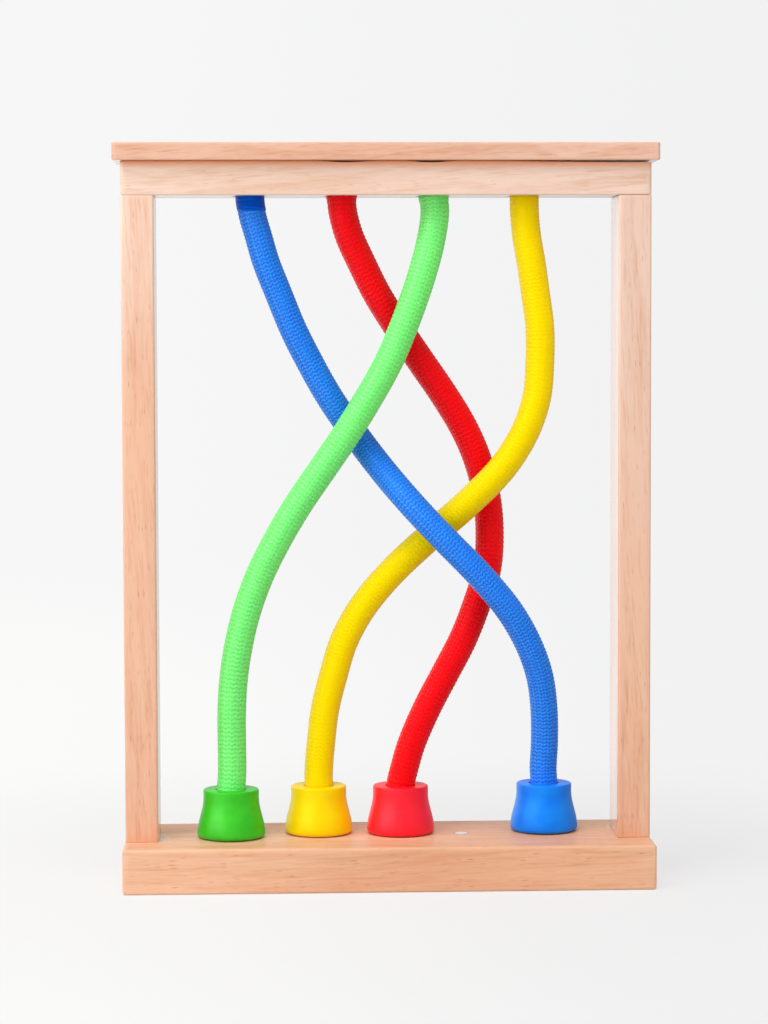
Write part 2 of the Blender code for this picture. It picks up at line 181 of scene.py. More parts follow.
def fade(tree, value, start, end, low=0.0, high=1.0):
    """A value that eases from low to high between start and end."""
    node = tree.nodes.new("ShaderNodeMapRange")
    node.interpolation_type = "SMOOTHSTEP"
    for socket, number in zip(node.inputs, (value, start, end, low, high)):
        feed(tree, socket, number)
    return node.outputs["Result"]


def speckle(tree, place, per_metre, detail=2.0, roughness=0.5):
    """Soft noise with its own count of waves per metre along each axis."""
    node = tree.nodes.new("ShaderNodeTexNoise")
    node.inputs["Scale"].default_value = 1.0
    node.inputs["Detail"].default_value = detail
    node.inputs["Roughness"].default_value = roughness
    tree.links.new(vector_of(tree, "MULTIPLY", place, per_metre), node.inputs["Vector"])
    return node


def new_group(name, inputs, outputs):
    """An empty node group with named sockets, and its two end nodes."""
    tree = bpy.data.node_groups.new(name, "ShaderNodeTree")
    for side, sockets in (("INPUT", inputs), ("OUTPUT", outputs)):
        for socket, kind in sockets:
            tree.interface.new_socket(socket, in_out=side, socket_type="NodeSocket" + kind)
    return tree, tree.nodes.new("NodeGroupInput"), tree.nodes.new("NodeGroupOutput")


def beech_group():
    """Beech with its grain along X: wandering rings round the pith at the origin, fibres and flecks."""
    tree, given, made = new_group(
        "beech_grain",
        (("Place", "Vector"), ("Pale", "Color"), ("Warm", "Color"), ("Fleck", "Color"),
         ("Eased", "Float")),
        (("Colour", "Color"), ("Roughness", "Float"), ("Height", "Float")),
    )
    place = given.outputs["Place"]
    drift = speckle(tree, place, DRIFT_WAVES).outputs["Color"]
    drift = vector_of(tree, "SUBTRACT", drift, (0.5, 0.5, 0.5))
    drift = vector_of(tree, "MULTIPLY", drift, GRAIN_DRIFT)
    across = vector_of(tree, "MULTIPLY", vector_of(tree, "ADD", place, drift), (0.0, 1.0, 1.0))
    from_pith = vector_of(tree, "LENGTH", across)
    ring = sum_of(tree, "FRACT", sum_of(tree, "MULTIPLY", from_pith, 1 / RING_WIDTH))
    ring_end = fade(tree, ring, *LATE_WOOD_END, 1.0, 0.0)
    late_wood = sum_of(tree, "MULTIPLY", sum_of(tree, "POWER", ring, LATE_WOOD_RISE), ring_end)
    tone = speckle(tree, place, TONE_WAVES).outputs["Fac"]
    fibre = speckle(tree, place, FIBRE_WAVES, detail=3.0, roughness=0.6).outputs["Fac"]
    strand = speckle(tree, place, STRAND_WAVES, detail=1.0).outputs["Fac"]
    strand = fade(tree, strand, *STRAND_SPAN)
    pores = speckle(tree, place, PORE_WAVES, detail=1.0).outputs["Fac"]

    cells = tree.nodes.new("ShaderNodeTexVoronoi")
    cells.inputs["Scale"].default_value = 1.0
    tree.links.new(vector_of(tree, "MULTIPLY", place, FLECK_WAVES), cells.inputs["Vector"])
    pick = tree.nodes.new("ShaderNodeSeparateColor")
    tree.links.new(cells.outputs["Color"], pick.inputs["Color"])
    kept = fade(tree, sum_of(tree, "ADD", pick.outputs["Red"], tone), *FLECKS_KEPT)
    kept = sum_of(tree, "MULTIPLY", kept, pick.outputs["Green"])
    near = fade(tree, cells.outputs["Distance"], *FLECK_EDGE, 1.0, 0.0)
    fleck = sum_of(tree, "MULTIPLY", kept, near)

    warmth = sum_of(tree, "MULTIPLY_ADD", late_wood, *RING_WARMTH)
    warmth = sum_of(tree, "ADD", warmth, sum_of(tree, "MULTIPLY_ADD", tone, *TONE_WARMTH))
    warmth = sum_of(tree, "ADD", warmth, sum_of(tree, "MULTIPLY_ADD", strand, *STRAND_WARMTH))
    warmth = sum_of(tree, "ADD", warmth, sum_of(tree, "MULTIPLY_ADD", fibre, *FIBRE_WARMTH), clamp=True)
    colour = tint(tree, warmth, given.outputs["Pale"], given.outputs["Warm"])
    colour = tint(tree, sum_of(tree, "MULTIPLY", fleck, FLECK_SHARE), colour, given.outputs["Fleck"])
    # The rounded edges are mixed towards the pale wood colour.
    edge_mark = sum_of(tree, "MULTIPLY", given.outputs["Eased"], EASED_SHARE)
    colour = tint(tree, edge_mark, colour, given.outputs["Pale"])
    tree.links.new(colour, made.inputs["Colour"])

    rough = sum_of(tree, "MULTIPLY_ADD", fibre, *FIBRE_ROUGHNESS)
    rough = sum_of(tree, "ADD", rough, sum_of(tree, "MULTIPLY", fleck, FLECK_ROUGHNESS))
    smoothed = sum_of(tree, "MULTIPLY", given.outputs["Eased"], EASED_SMOOTHNESS)
    rough = sum_of(tree, "SUBTRACT", rough, smoothed)
    tree.links.new(rough, made.inputs["Roughness"])

    height = sum_of(tree, "MULTIPLY", fibre, FIBRE_HEIGHT)
    height = sum_of(tree, "MULTIPLY_ADD", pores, PORE_HEIGHT, height)
    height = sum_of(tree, "SUBTRACT", height, sum_of(tree, "MULTIPLY", fleck, FLECK_SINK))
    tree.links.new(height, made.inputs["Height"])
    return tree


beech_grain = beech_group()


def new_finish(name, roughness=0.5, metallic=0.0):
    """A new material, with its node tree and its shader."""
    material = bpy.data.materials.new(name)
    material.use_nodes = True
    shader = material.node_tree.nodes["Principled BSDF"]
    shader.inputs["Roughness"].default_value = roughness
    shader.inputs["Metallic"].default_value = metallic
    return material, material.node_tree, shader


def relief(tree, shader, height, depth):
    """Fine unevenness of a surface, depth metres from low to high."""
    bump = tree.nodes.new("ShaderNodeBump")
    bump.inputs["Strength"].default_value = 1.0
    bump.inputs["Distance"].default_value = depth
    tree.links.new(height, bump.inputs["Height"])
    tree.links.new(bump.outputs["Normal"], shader.inputs["Normal"])


def beech_finish(name, along, slope, pith, pale, warm, ends, lacquer, fleck=BEECH_FLECK):
    """Lacquered beech. The grain runs along X or Z at a slope, and pith is where the trunk's middle lay.
    Pale and warm each hold two colours, since a board's wood changes from one of its ends to the other; on
    the posts the lower colours also hold painted warm bounce light."""
    material, tree, shader = new_finish(name)
    place = object_place(tree)
    turned = tree.nodes.new("ShaderNodeMapping")
    turned.inputs["Rotation"].default_value = (0.0, slope + (math.pi / 2 if along == "Z" else 0.0), slope)
    turned.inputs["Location"].default_value = pith
    tree.links.new(place, turned.inputs["Vector"])
    eased = tree.nodes.new("ShaderNodeAttribute")
    eased.attribute_name = "eased"
    share = fade(tree, axes_of(tree, place)[along], *ends)
    grain = tree.nodes.new("ShaderNodeGroup")
    grain.node_tree = beech_grain
    grain.inputs["Fleck"].default_value = paint(*fleck)
    tree.links.new(tint(tree, share, paint(*pale[0]), paint(*pale[1])), grain.inputs["Pale"])
    tree.links.new(tint(tree, share, paint(*warm[0]), paint(*warm[1])), grain.inputs["Warm"])
    tree.links.new(turned.outputs["Vector"], grain.inputs["Place"])
    tree.links.new(eased.outputs["Fac"], grain.inputs["Eased"])
    tree.links.new(grain.outputs["Colour"], shader.inputs["Base Color"])
    tree.links.new(grain.outputs["Roughness"], shader.inputs["Roughness"])
    shader.inputs["Specular IOR Level"].default_value = lacquer / 2
    shader.inputs["Coat Weight"].default_value = lacquer
    shader.inputs["Coat Roughness"].default_value = COAT_ROUGHNESS
    relief(tree, shader, grain.outputs["Height"], WOOD_RELIEF)
    return material


def rounded(bm, edges, radius):
    """Rounds edges of a mesh."""
    bmesh.ops.bevel(
        bm, geom=edges, offset=radius, offset_type="OFFSET", affect="EDGES",
        segments=EASING_STEPS, profile=0.5, material=-1,
    )


def eased_board(low, high, corner, easing):
    """A board between two opposite corners, with its rounded edges marked.
    Its four upright edges may be rounded more, by the radius corner, than the rest."""
    bm = bmesh.new()
    bmesh.ops.create_cube(bm, size=1.0)
    bmesh.ops.scale(bm, vec=high - low, verts=bm.verts)
    bmesh.ops.translate(bm, vec=(low + high) / 2, verts=bm.verts)
    edges = bm.edges[:]
    if corner > easing:
        rounded(bm, [edge for edge in edges if edge.verts[0].co.xy == edge.verts[1].co.xy], corner)
        bm.normal_update()
        edges = [edge for face in bm.faces if abs(face.normal.z) > LEVEL_ENOUGH for edge in face.edges]
    rounded(bm, edges, easing)
    edge_mark = bm.verts.layers.float.new("eased")
    for vert in bm.verts:
        vert[edge_mark] = 1.0
    for flat in sorted(bm.faces, key=lambda face: face.calc_area())[-BOARD_SIDES:]:
        band = SANDED_BAND if len(flat.verts) == 4 else (corner - easing) / 2
        bmesh.ops.inset_individual(bm, faces=[flat], thickness=band, use_even_offset=True)
        for vert in flat.verts:
            vert[edge_mark] = 0.0
    return bm


def turned_shape(bm, profile, centre, steps):
    """Spins an outline of (radius, height) points about an upright axis, closed at its poles."""
    points = [bm.verts.new((centre[0] + r, centre[1], centre[2] + h)) for r, h in profile]
    edges = [bm.edges.new(pair) for pair in zip(points, points[1:])]
    before = set(bm.verts) - set(points)
    bmesh.ops.spin(
        bm, geom=points + edges, cent=centre, axis=(0, 0, 1), angle=2 * math.pi,
        steps=steps, use_merge=True, use_duplicate=False,
    )
    made = [vert for vert in bm.verts if vert not in before]
    bmesh.ops.remove_doubles(bm, verts=made, dist=WELD)


def mesh_piece(name, bm, finish, creased=True):
    """The finished mesh as an object of the scene, shaded smooth between its sharp edges."""
    mesh = bpy.data.meshes.new(name)
    bm.to_mesh(mesh)
    bm.free()
    mesh.materials.append(finish)
    mesh.shade_smooth()
    if creased:
        mesh.set_sharp_from_angle(angle=SHARP_ANGLE)
    piece = bpy.data.objects.new(name, mesh)
    bpy.context.scene.collection.objects.link(piece)
    return piece


def drill(piece, cutter_bm):
    """Cuts the shapes of the drill bits out of a board."""
    bmesh.ops.recalc_face_normals(cutter_bm, faces=cutter_bm.faces)
    cutter = mesh_piece(piece.name + "_drill", cutter_bm, piece.data.materials[0])
    boring = piece.modifiers.new("drilled", "BOOLEAN")
    boring.object = cutter
    boring.solver = "EXACT"
    bpy.context.view_layer.update()
    drilled = piece.evaluated_get(bpy.context.evaluated_depsgraph_get())
    mesh = bpy.data.meshes.new_from_object(drilled)
    piece.modifiers.remove(boring)
    bpy.data.objects.remove(cutter, do_unlink=True)
    piece.data = mesh
    mesh.shade_smooth()
    mesh.set_sharp_from_angle(angle=SHARP_ANGLE)


def middle(node):
    """The middle of a CAD node's box."""
    low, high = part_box(node)
    return (low + high) / 2


def add_glue_smears(material, height):
    """Milky, blotchy traces of dried glue on a board's top, where it was pressed out of two joints."""
    tree = material.node_tree
    shader = tree.nodes["Principled BSDF"]
    colour = shader.inputs["Base Color"].links[0].from_socket
    place = object_place(tree)
    blotch = fade(tree, speckle(tree, place, GLUE_WAVES, detail=3.0).outputs["Fac"], *GLUE_COVER)
    for x, y, half_width, half_length in GLUE_SMEARS:
        away = vector_of(tree, "SUBTRACT", place, (x, y, height))
        away = vector_of(tree, "MULTIPLY", away, (1 / half_width, 1 / half_length, 1 / GLUE_DEPTH))
        near = fade(tree, vector_of(tree, "LENGTH", away), *GLUE_EDGE, 1.0, 0.0)
        colour = tint(tree, sum_of(tree, "MULTIPLY", near, blotch), colour, paint(*GLUE_PALE))
    tree.links.new(colour, shader.inputs["Base Color"])


base_low, base_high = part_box("base_board")
base_top = base_high.z
base_finish = beech_finish(
    "beech_base", "X", BASE_SLOPE, BASE_PITH, BASE_PALE, BASE_WARM, BASE_FADE, BASE_LACQUER)
add_glue_smears(base_finish, base_top)
base_planed = eased_board(base_low, base_high, BASE_EASING, BASE_EASING)
base_board = mesh_piece("base_board_beech", base_planed, base_finish)
base_bits = bmesh.new()
pocket_mouth = base_top + CUT_MARGIN
for number in MAGNET_NUMBERS:
    disc_low, disc_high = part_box(f"base_magnet_{number}")
    pocket = (disc_high.x - disc_low.x) / 2 + POCKET_CLEARANCE
    pocket_floor = disc_low.z - POCKET_CLEARANCE
    disc = middle(f"base_magnet_{number}")
    turned_shape(
        base_bits,
        [(0, pocket_mouth), (pocket, pocket_mouth), (pocket, pocket_floor), (0, pocket_floor)],
        (disc.x, disc.y, 0.0),
        HOLE_STEPS,
    )
shank_top = base_top - CUT_MARGIN
for side in ("left", "right"):
    turned_shape(
        base_bits,
        [(0, shank_top), (SCREW_HOLE_SHANK, shank_top), (SCREW_HOLE_SHANK, SCREW_HOLE_CONE),
         (SCREW_HOLE_MOUTH, SCREW_HOLE_SINK), (SCREW_HOLE_MOUTH, -CUT_MARGIN), (0, -CUT_MARGIN)],
        (middle(side + "_post_screw").x, 0.0, 0.0),
        HOLE_STEPS,
    )
drill(base_board, base_bits)
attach(base_board, "frame")
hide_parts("base_board")

# Base magnets
# Five nickel-plated disc magnets pressed flush into the base's top, where the cups come to rest.
# One of them lies bare. Handling has left faint scratches on the plating.
NICKEL_BRIGHT = (253, 252, 250)
NICKEL_DULL = (240, 238, 235)
NICKEL_SCRATCHES = (400.0, 5200.0, 5200.0)
CLOUD_WAVES = (600.0, 600.0, 600.0)
CLOUD_SPAN = (0.35, 0.75)
PLATE_ROUGHNESS = (0.14, 0.32)
SCRATCH_DEPTH = 0.000001


def plated_finish(name, bright, dull, scratches_per_metre):
    """A plated metal, a little cloudy, with fine scratches that scatter its shine."""
    material, tree, shader = new_finish(name, metallic=1.0)
    place = object_place(tree)
    cloud = speckle(tree, place, CLOUD_WAVES, detail=3.0).outputs["Fac"]
    lines = speckle(tree, place, scratches_per_metre).outputs["Fac"]
    colour = tint(tree, fade(tree, cloud, *CLOUD_SPAN), paint(*bright), paint(*dull))
    tree.links.new(colour, shader.inputs["Base Color"])
    rough = sum_of(tree, "MULTIPLY_ADD", cloud, *PLATE_ROUGHNESS)
    tree.links.new(rough, shader.inputs["Roughness"])
    relief(tree, shader, lines, SCRATCH_DEPTH)
    return material


def dress(node, finish):
    """Gives a CAD node its finish."""
    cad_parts[node].material_slots[0].material = finish


nickel = plated_finish("nickel_plate", NICKEL_BRIGHT, NICKEL_DULL, NICKEL_SCRATCHES)
for number in MAGNET_NUMBERS:
    dress(f"base_magnet_{number}", nickel)

# Posts
# Two upright beech sticks with their grain standing, planed square and eased along their edges.
# Dowels and a screw hold each to the base, and dowels hold the rail on top. Glue has closed the joints.
POST_CORNER = 0.0010
POST_EASING = 0.0004
FOOT_CLOSING = 0.00027
HEAD_CLOSING = {"left": 0.00027, "right": 0.00016}
POST_PITH = {"left": (0.10, -0.048, 0.035), "right": (0.62, 0.044, -0.060)}
POST_PALE = {"left": ((239, 188, 155), (246, 215, 194)), "right": ((236, 186, 154), (236, 201, 180))}
POST_WARM = {"left": ((227, 161, 124), (236, 185, 156)), "right": ((220, 155, 118), (221, 171, 144))}
POST_SLOPE = 0.05
# Each post changes from its lower colours to its upper ones between these heights: partly the wood's own
# change, partly painted warm bounce light low down.
POST_WOOD_AND_BOUNCE_FADE = {"left": (0.21, 0.31), "right": (0.09, 0.29)}
POST_LACQUER = {"left": 0.9, "right": 1.0}

for side in ("left", "right"):
    post_finish = beech_finish(
        f"beech_{side}_post", "Z", POST_SLOPE, POST_PITH[side], POST_PALE[side], POST_WARM[side],
        POST_WOOD_AND_BOUNCE_FADE[side], POST_LACQUER[side])
    post_low, post_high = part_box(side + "_post")
    post_low.z -= FOOT_CLOSING
    post_high.z += HEAD_CLOSING[side]
    post_planed = eased_board(post_low, post_high, POST_CORNER, POST_EASING)
    post = mesh_piece(f"{side}_post_beech", post_planed, post_finish)
    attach(post, "frame")
    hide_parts(side + "_post")

# Dowels and screws
# Plain beech dowels hide in the joints, and zinc-plated countersunk screws go up into the posts.
# Only the screw heads show, from below.
DOWEL_PALE = ((238, 202, 166), (232, 194, 158))
DOWEL_WARM = ((214, 160, 116), (208, 152, 110))
DOWEL_PITH = (0.05, 0.31, 0.27)
DOWEL_SLOPE = 0.02
ZINC_BRIGHT = (206, 207, 205)
ZINC_DULL = (158, 157, 152)
ZINC_SCRATCHES = (3000.0, 3000.0, 300.0)

dowel_ends = (0.0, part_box("cap_dowel_1")[1].z)
dowel_finish = beech_finish(
    "dowel_beech", "Z", DOWEL_SLOPE, DOWEL_PITH, DOWEL_PALE, DOWEL_WARM, dowel_ends, lacquer=0.0)
dowels = [f"{side}_{end}_dowel_{depth}" for side in ("left", "right")
          for end in ("foot", "head") for depth in ("front", "back")]
dowels += [f"cap_dowel_{number}" for number in (1, 2, 3)]
for node in dowels:
    dress(node, dowel_finish)
zinc = plated_finish("zinc_plate", ZINC_BRIGHT, ZINC_DULL, ZINC_SCRATCHES)
for side in ("left", "right"):
    dress(side + "_post_screw", zinc)

# Top rail
# A beech stick laid across the posts, with four holes that the ropes come down through.
# Each hole's lower rim is eased. The top was planed a little hollow in three places.
ROPE_COLOURS = ("blue", "red", "green", "yellow")
ROPE_HOLE_RADIUS = 0.0075
HOLE_RIM = 0.0005
COLLAR_CLEARANCE = 0.0002
RAIL_PALE = ((246, 215, 195), (242, 210, 191))
RAIL_WARM = ((231, 187, 160), (226, 182, 156))
RAIL_PITH = (0.84, -0.061, 0.262)
RAIL_SLOPE = 0.05
RAIL_LACQUER = 0.8
# Painted shade under the cap's overhang: the rail's top is tinted towards this darker orange, over this
# reach.
PAINTED_CAP_SHADE = (246, 172, 126)
PAINTED_CAP_SHADE_REACH = 0.0036
RAIL_CUTS = 60
CUT_SNAP = 0.0000001
RAIL_CORNER = 0.0016
RAIL_EASING = 0.0006
TOP_CLOSING = 0.00027
# Each hollow's middle, then half its width and its depth.
HOLLOWS = ((-0.0182, 0.0150, 0.0007), (0.0198, 0.0122, 0.0009), (0.1148, 0.0814, 0.0008))

rail_low, rail_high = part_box("top_rail")
rail_ends = (rail_low.x, rail_high.x)
rail_finish = beech_finish(
    "beech_rail", "X", RAIL_SLOPE, RAIL_PITH, RAIL_PALE, RAIL_WARM, rail_ends, RAIL_LACQUER, FAINT_FLECK)
rail_tree = rail_finish.node_tree
rail_shader = rail_tree.nodes["Principled BSDF"]
rail_height = axes_of(rail_tree, object_place(rail_tree))["Z"]
# Painted shade: the rail's wood darkens to a warm orange towards its top, under the cap's overhang.
rail_shade_mask = fade(rail_tree, rail_height, rail_high.z - PAINTED_CAP_SHADE_REACH, rail_high.z - RAIL_EASING)
rail_wood = rail_shader.inputs["Base Color"].links[0].from_socket
rail_shaded_wood = tint(rail_tree, rail_shade_mask, rail_wood, paint(*PAINTED_CAP_SHADE))
rail_tree.links.new(rail_shaded_wood, rail_shader.inputs["Base Color"])
stick = eased_board(rail_low, rail_high, RAIL_CORNER, RAIL_EASING)
for cut in range(1, RAIL_CUTS):
    cut_x = rail_low.x + (rail_high.x - rail_low.x) * cut / RAIL_CUTS
    bmesh.ops.bisect_plane(
        stick, geom=stick.verts[:] + stick.edges[:] + stick.faces[:], dist=CUT_SNAP,
        plane_co=(cut_x, 0.0, 0.0), plane_no=(1.0, 0.0, 0.0),
    )
for vert in stick.verts:
    if vert.co.z > rail_high.z - RAIL_EASING:
        vert.co.z += TOP_CLOSING
        for hollow_x, half_width, depth in HOLLOWS:
            off = min(abs(vert.co.x - hollow_x) / half_width, 1.0)
            vert.co.z -= depth * math.cos(off * math.pi / 2) ** 2
rail = mesh_piece("top_rail_beech", stick, rail_finish)
rail_bits = bmesh.new()
above = rail_high.z + CUT_MARGIN
below = rail_low.z - CUT_MARGIN
for colour in ROPE_COLOURS:
    collar_low, collar_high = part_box(colour + "_stop_collar")
    seat = (collar_high.x - collar_low.x) / 2 + COLLAR_CLEARANCE
    step = collar_low.z - COLLAR_CLEARANCE
    turned_shape(
        rail_bits,
        [(0, above), (seat, above), (seat, step), (ROPE_HOLE_RADIUS, step),
         (ROPE_HOLE_RADIUS, rail_low.z + HOLE_RIM),
         (ROPE_HOLE_RADIUS + HOLE_RIM + CUT_MARGIN, below), (0, below)],
        (middle(colour + "_stop_collar").x, 0.0, 0.0),
        HOLE_STEPS,
    )
drill(rail, rail_bits)
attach(rail, "frame")
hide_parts("top_rail")

# Stop collars
# Milky nylon rings clamped on the ropes' upper ends.
# They sit in counterbores in the rail's top and hold the ropes up.
NYLON_PALE = (232, 230, 222)
NYLON_SHADE = (206, 202, 190)
NYLON_WAVES = (500.0, 500.0, 500.0)
NYLON_RELIEF = 0.00003

nylon, nylon_tree, nylon_shader = new_finish("nylon", roughness=0.45)
nylon_cloud = speckle(nylon_tree, object_place(nylon_tree), NYLON_WAVES, detail=3.0).outputs["Fac"]
nylon_colour = tint(nylon_tree, nylon_cloud, paint(*NYLON_PALE), paint(*NYLON_SHADE))
nylon_tree.links.new(nylon_colour, nylon_shader.inputs["Base Color"])
relief(nylon_tree, nylon_shader, nylon_cloud, NYLON_RELIEF)
for colour in ROPE_COLOURS:
    dress(colour + "_stop_collar", nylon)

# Ropes
# Soft round ropes with a herringbone cover, braided from dyed polyester yarns over a core.
# Each hangs from its collar in the rail, and its lower end is glued into a cup.
ROPE_ROUTES = {
    "blue": (
        (-0.061, 0, 0.307), (-0.058, 0.0005, 0.296), (-0.0545, 0.001, 0.284),
        (-0.049, 0.002, 0.270), (-0.0425, 0.003, 0.254), (-0.0345, 0.0045, 0.238),
        (-0.0255, 0.005, 0.222), (-0.0145, 0.005, 0.206), (-0.0025, 0.0005, 0.190),
        (0.011, -0.0085, 0.174), (0.026, -0.012, 0.158), (0.0415, -0.0115, 0.142),
        (0.055, -0.0085, 0.126), (0.0645, -0.004, 0.110), (0.0705, 0.0005, 0.094),
        (0.073, 0.0045, 0.078), (0.0735, 0.007, 0.062), (0.073, 0.008, 0.050),
    ),
    "red": (
        (-0.0195, 0, 0.307), (-0.0165, 0.0015, 0.296), (-0.011, 0.0035, 0.284),
        (-0.004, 0.005, 0.270), (0.006, 0.007, 0.254), (0.017, 0.009, 0.238),
        (0.028, 0.011, 0.222), (0.0375, 0.0135, 0.206), (0.044, 0.015, 0.190),
        (0.0475, 0.015, 0.174), (0.0485, 0.013, 0.158), (0.047, 0.0105, 0.142),
        (0.042, 0.0085, 0.126), (0.0355, 0.007, 0.110), (0.027, 0.006, 0.094),
        (0.0185, 0.005, 0.078), (0.0115, 0.0045, 0.062), (0.008, 0.0045, 0.050),
    ),
    "green": (
        (0.0225, 0, 0.307), (0.021, -0.0015, 0.296), (0.018, -0.004, 0.284),
        (0.0135, -0.0065, 0.270), (0.0075, -0.008, 0.254), (0.0005, -0.0085, 0.238),
        (-0.0085, -0.009, 0.222), (-0.0185, -0.009, 0.206), (-0.0295, -0.009, 0.190),
        (-0.0405, -0.0085, 0.174), (-0.050, -0.008, 0.158), (-0.058, -0.0065, 0.142),
        (-0.064, -0.006, 0.126), (-0.068, -0.005, 0.110), (-0.0705, -0.004, 0.094),
        (-0.0715, -0.0035, 0.078), (-0.0715, -0.0025, 0.062), (-0.0715, -0.0025, 0.050),
    ),
    "yellow": (
        (0.0635, 0, 0.307), (0.0645, 0, 0.296), (0.0665, -0.0005, 0.284),
        (0.0685, -0.0005, 0.270), (0.0705, -0.001, 0.254), (0.0705, -0.001, 0.238),
        (0.069, -0.0015, 0.222), (0.0635, -0.0015, 0.206), (0.0535, -0.0005, 0.190),
        (0.038, 0.0015, 0.174), (0.020, 0.004, 0.158), (0.003, 0.0055, 0.142),
        (-0.0105, 0.006, 0.126), (-0.0195, 0.006, 0.110), (-0.0245, 0.006, 0.094),
        (-0.0285, 0.006, 0.078), (-0.0305, 0.006, 0.062), (-0.0315, 0.006, 0.050),
    ),
}
WRAP_HIDDEN = 0.003
LINE_STEPS = 12
BRAID_COLUMNS = 26
COLUMN_STEPS = 4
ROW_STEPS = 4
BRAID_RISE = 0.00085
YARN_RELIEF = {"blue": 0.00040, "red": 0.00036, "green": 0.00026, "yellow": 0.00015}
SLACK_RELIEF = 0.3
SLACK_WAVE = 0.012
COLUMN_DIP = 0.55
YARN_FULLNESS = 0.7
SEAM_WELD = 0.000005
ROPE_GIRTH = {"blue": 0.00640, "red": 0.00668, "green": 0.00664, "yellow": 0.00666}
SQUEEZED_GIRTH = 0.00640
MOUTH_SWELL = {"blue": 0.0, "red": 0.0005, "green": 0.0005, "yellow": 0.0001}
MOUTH_REACH = 0.006
ROW_PITCH = {"blue": 0.00176, "red": 0.00206, "green": 0.00203, "yellow": 0.00184}
YARN_LIGHT = {
    "blue": (16, 144, 255), "red": (255, 8, 20), "green": (132, 254, 134), "yellow": (255, 227, 0)}
# The darker colour: painted shade in the braid's grooves, painted sheen on alternate columns, and the
# yarns' own darker tones.
YARN_SHADE_PAINT_AND_TONE = {"blue": (0, 100, 238), "red": (250, 2, 8), "green": (96, 242, 96), "yellow": (255, 220, 0)}
YARN_SHEEN = {
    "blue": (170, 225, 255), "red": (255, 90, 100), "green": (220, 255, 220), "yellow": (255, 236, 60)}
YARN_RIM = {
    "blue": (120, 205, 255), "red": (255, 60, 60), "green": (200, 255, 200), "yellow": (255, 205, 0)}
YARN_SHINE = {"blue": 1.0, "red": 0.9, "green": 1.0, "yellow": 0.7}
YARN_FUZZ = {"blue": 0.5, "red": 0.35, "green": 0.35, "yellow": 0.5}
FUZZ_ROUGHNESS = 0.35
FUZZ_WAVES = (3.0, 9.0, 1.0)
FILAMENTS = 6
FILAMENT_HEIGHT = 0.3
FILAMENT_RELIEF = 0.00005
# Groove levels between which the yarn is painted darker, as painted shade in the braid's grooves.
GROOVE_SHADE_SPAN = (0.05, 0.85)
YARN_ROUGHNESS = (0.3, 0.22)
# How much each feature darkens the yarn, and the level that it starts from.
FUZZ_DEPTH = (0.5, -0.25)
YARN_DEPTH = (0.24, -0.12)
# Painted sheen: yarns in alternate columns are painted darker, those between them lighter.
LEAN_PAINTED_SHEEN = (0.20, -0.10)


def smooth_route(points):
    """Points of a smooth curve through the route's own points."""
    line = []
    last = len(points) - 1
    for i in range(last):
        start, end = points[i], points[i + 1]
        before = points[max(i - 1, 0)]
        after = points[min(i + 2, last)]
        reach = (end - start).length / 3
        leave = start + (end - before).normalized() * reach
        arrive = end - (after - start).normalized() * reach
        line += interpolate_bezier(start, leave, arrive, end, LINE_STEPS)[:-1]
    return line + [points[last]]


def rope_line(colour):
    """Centre line of a rope, from its end in the collar to its end in the cup."""
    hole_x = middle(colour + "_stop_collar").x
    cup = middle(colour + "_cup")
    cup_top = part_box(colour + "_cup")[1].z
    rope_low, rope_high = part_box(colour + "_rope")
    collar_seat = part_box(colour + "_stop_collar")[0].z - COLLAR_CLEARANCE
    heights_above = (rope_high.z, collar_seat, rail_low.z + WRAP_HIDDEN)
    heights_below = (cup_top, (cup_top + rope_low.z) / 2, rope_low.z)
    points = [Vector((hole_x, 0.0, z)) for z in heights_above]
    points += [Vector(point) for point in ROPE_ROUTES[colour]]
    points += [Vector((cup.x, cup.y, z)) for z in heights_below]
    return smooth_route(points)


class Line:
    """A line that can be asked for a point at a distance along it, off to one side of it."""

    def __init__(self, points):
        self.points = points
        self.walked = [0.0]
        for start, end in zip(points, points[1:]):
            self.walked.append(self.walked[-1] + (end - start).length)
        self.length = self.walked[-1]
        ends = [points[0]] + points[:-1], points[1:] + [points[-1]]
        courses = [(after - before).normalized() for before, after in zip(*ends)]
        self.sides = [Vector((1.0, 0.0, 0.0))]
        for course, following in zip(courses, courses[1:]):
            side = self.sides[-1].copy()
            side.rotate(course.rotation_difference(following))
            self.sides.append(side)
        self.fronts = [course.cross(side) for course, side in zip(courses, self.sides)]

    def beside(self, distance, angle, radius):
        """The point at a distance along the line, and a radius away from it at an angle round it."""
        i = min(max(bisect.bisect_right(self.walked, distance) - 1, 0), len(self.points) - 2)
        share = (distance - self.walked[i]) / (self.walked[i + 1] - self.walked[i])
        side = self.sides[i].lerp(self.sides[i + 1], share)
        front = self.fronts[i].lerp(self.fronts[i + 1], share)
        outwards = side * math.cos(angle) + front * math.sin(angle)
        return self.points[i].lerp(self.points[i + 1], share) + outwards.normalized() * radius


def tube_grid(around, along):
    """A flat grid that a tube is rolled from, with a map of its place round and along the tube."""
    bm = bmesh.new()
    bmesh.ops.create_grid(bm, x_segments=around, y_segments=along, size=0.5)
    layer = bm.loops.layers.uv.new("rolled")
    for face in bm.faces:
        for loop in face.loops:
            loop[layer].uv = (loop.vert.co.x + 0.5, loop.vert.co.y + 0.5)
    return bm


def close_tube(bm, capped):
    """Joins a rolled tube along its seam, and closes its ends where it has caps."""
    bmesh.ops.remove_doubles(bm, verts=bm.verts, dist=SEAM_WELD)
    if capped:
        bmesh.ops.holes_fill(bm, edges=[edge for edge in bm.edges if edge.is_boundary], sides=0)
    bmesh.ops.recalc_face_normals(bm, faces=bm.faces)


